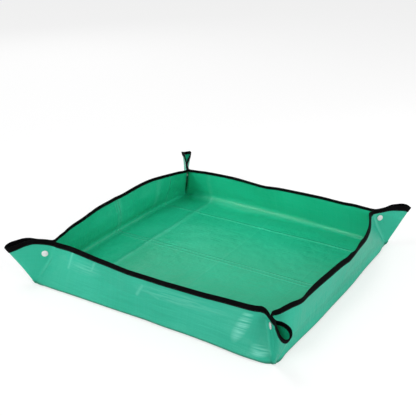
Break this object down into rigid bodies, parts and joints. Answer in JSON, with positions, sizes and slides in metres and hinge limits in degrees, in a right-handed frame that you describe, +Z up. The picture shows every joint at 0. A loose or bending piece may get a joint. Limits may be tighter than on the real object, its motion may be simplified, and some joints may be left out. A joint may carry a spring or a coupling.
{
  "type": "repotting mat",
  "caption": "Square woven mat with a bound edge, folded into a shallow tray whose pinched corner ears are held by snaps and unfold flat.",
  "frame": {"origin": "middle of the underside of the floor panel, on the surface the mat stands on", "axes": "+Z up; +X along the front wall from the left corner to the near corner; +Y from the front wall to the back wall"},
  "size_m": [0.593, 0.593, 0.0876],
  "materials": {
    "woven_sheet": "satin coated weave",
    "edge_binding": "matte woven tape",
    "snap_plastic": "smooth moulded"
  },
  "bodies": {
    "floor": {"floor_panel": "woven_sheet"},
    "front_wall": {"front_wall": "woven_sheet", "front_wall_binding": "edge_binding"},
    "right_wall": {"right_wall": "woven_sheet", "right_wall_binding": "edge_binding"},
    "back_wall": {"back_wall": "woven_sheet", "back_wall_binding": "edge_binding"},
    "left_wall": {"left_wall": "woven_sheet", "left_wall_binding": "edge_binding"},
    "left_ear_front": {"left_ear_front": "woven_sheet", "left_ear_front_binding": "edge_binding", "left_snap_stud": "snap_plastic", "left_snap_stud_cap": "snap_plastic"},
    "near_ear_front": {"near_ear_front": "woven_sheet", "near_ear_front_binding": "edge_binding", "near_snap_socket": "snap_plastic", "near_snap_socket_cap": "snap_plastic"},
    "near_ear_right": {"near_ear_right": "woven_sheet", "near_ear_right_binding": "edge_binding", "near_snap_stud": "snap_plastic", "near_snap_stud_cap": "snap_plastic"},
    "right_ear_right": {"right_ear_right": "woven_sheet", "right_ear_right_binding": "edge_binding", "right_snap_socket": "snap_plastic", "right_snap_socket_cap": "snap_plastic"},
    "right_ear_back": {"right_ear_back": "woven_sheet", "right_ear_back_binding": "edge_binding", "right_snap_stud": "snap_plastic", "right_snap_stud_cap": "snap_plastic"},
    "far_ear_back": {"far_ear_back": "woven_sheet", "far_ear_back_binding": "edge_binding", "far_snap_socket": "snap_plastic", "far_snap_socket_cap": "snap_plastic"},
    "far_ear_left": {"far_ear_left": "woven_sheet", "far_ear_left_binding": "edge_binding", "far_snap_stud": "snap_plastic", "far_snap_stud_cap": "snap_plastic"},
    "left_ear_left": {"left_ear_left": "woven_sheet", "left_ear_left_binding": "edge_binding", "left_snap_socket": "snap_plastic", "left_snap_socket_cap": "snap_plastic"}
  },
  "joints": [
    {"name": "front_wall_fold", "type": "hinge", "parent": "floor", "child": "front_wall", "pos_m": [0, -0.255, 0.00015], "axis": [1, 0, 0], "range_deg": [0, 96]},
    {"name": "right_wall_fold", "type": "hinge", "parent": "floor", "child": "right_wall", "pos_m": [0.255, 0, 0.00015], "axis": [0, 1, 0], "range_deg": [0, 96]},
    {"name": "back_wall_fold", "type": "hinge", "parent": "floor", "child": "back_wall", "pos_m": [0, 0.255, 0.00015], "axis": [-1, 0, 0], "range_deg": [0, 96]},
    {"name": "left_wall_fold", "type": "hinge", "parent": "floor", "child": "left_wall", "pos_m": [-0.255, 0, 0.00015], "axis": [0, -1, 0], "range_deg": [0, 96]},
    {"name": "left_ear_front_fold", "type": "hinge", "parent": "front_wall", "child": "left_ear_front", "pos_m": [-0.25182, -0.255, 0.00015], "axis": [-0.3027, -0.3027, -0.9037], "range_deg": [0, 42.4]},
    {"name": "near_ear_front_fold", "type": "hinge", "parent": "front_wall", "child": "near_ear_front", "pos_m": [0.25182, -0.255, 0.00015], "axis": [-0.3027, 0.3027, 0.9037], "range_deg": [0, 42.4]},
    {"name": "near_ear_right_fold", "type": "hinge", "parent": "right_wall", "child": "near_ear_right", "pos_m": [0.255, -0.25182, 0.00015], "axis": [0.3027, -0.3027, -0.9037], "range_deg": [0, 42.4]},
    {"name": "right_ear_right_fold", "type": "hinge", "parent": "right_wall", "child": "right_ear_right", "pos_m": [0.255, 0.25182, 0.00015], "axis": [-0.3027, -0.3027, 0.9037], "range_deg": [0, 42.4]},
    {"name": "right_ear_back_fold", "type": "hinge", "parent": "back_wall", "child": "right_ear_back", "pos_m": [0.25182, 0.255, 0.00015], "axis": [0.3027, 0.3027, -0.9037], "range_deg": [0, 42.4]},
    {"name": "far_ear_back_fold", "type": "hinge", "parent": "back_wall", "child": "far_ear_back", "pos_m": [-0.25182, 0.255, 0.00015], "axis": [0.3027, -0.3027, 0.9037], "range_deg": [0, 42.4]},
    {"name": "far_ear_left_fold", "type": "hinge", "parent": "left_wall", "child": "far_ear_left", "pos_m": [-0.255, 0.25182, 0.00015], "axis": [-0.3027, 0.3027, -0.9037], "range_deg": [0, 42.4]},
    {"name": "left_ear_left_fold", "type": "hinge", "parent": "left_wall", "child": "left_ear_left", "pos_m": [-0.255, -0.25182, 0.00015], "axis": [0.3027, 0.3027, 0.9037], "range_deg": [0, 42.4]}
  ],
  "couplings": [
    {"joint": "right_wall_fold", "follows": "front_wall_fold", "ratio": 1},
    {"joint": "back_wall_fold", "follows": "front_wall_fold", "ratio": 1},
    {"joint": "left_wall_fold", "follows": "front_wall_fold", "ratio": 1},
    {"joint": "left_ear_front_fold", "follows": "front_wall_fold", "ratio": 0.44135},
    {"joint": "near_ear_front_fold", "follows": "front_wall_fold", "ratio": 0.44135},
    {"joint": "near_ear_right_fold", "follows": "front_wall_fold", "ratio": 0.44135},
    {"joint": "right_ear_right_fold", "follows": "front_wall_fold", "ratio": 0.44135},
    {"joint": "right_ear_back_fold", "follows": "front_wall_fold", "ratio": 0.44135},
    {"joint": "far_ear_back_fold", "follows": "front_wall_fold", "ratio": 0.44135},
    {"joint": "far_ear_left_fold", "follows": "front_wall_fold", "ratio": 0.44135},
    {"joint": "left_ear_left_fold", "follows": "front_wall_fold", "ratio": 0.44135}
  ]
}
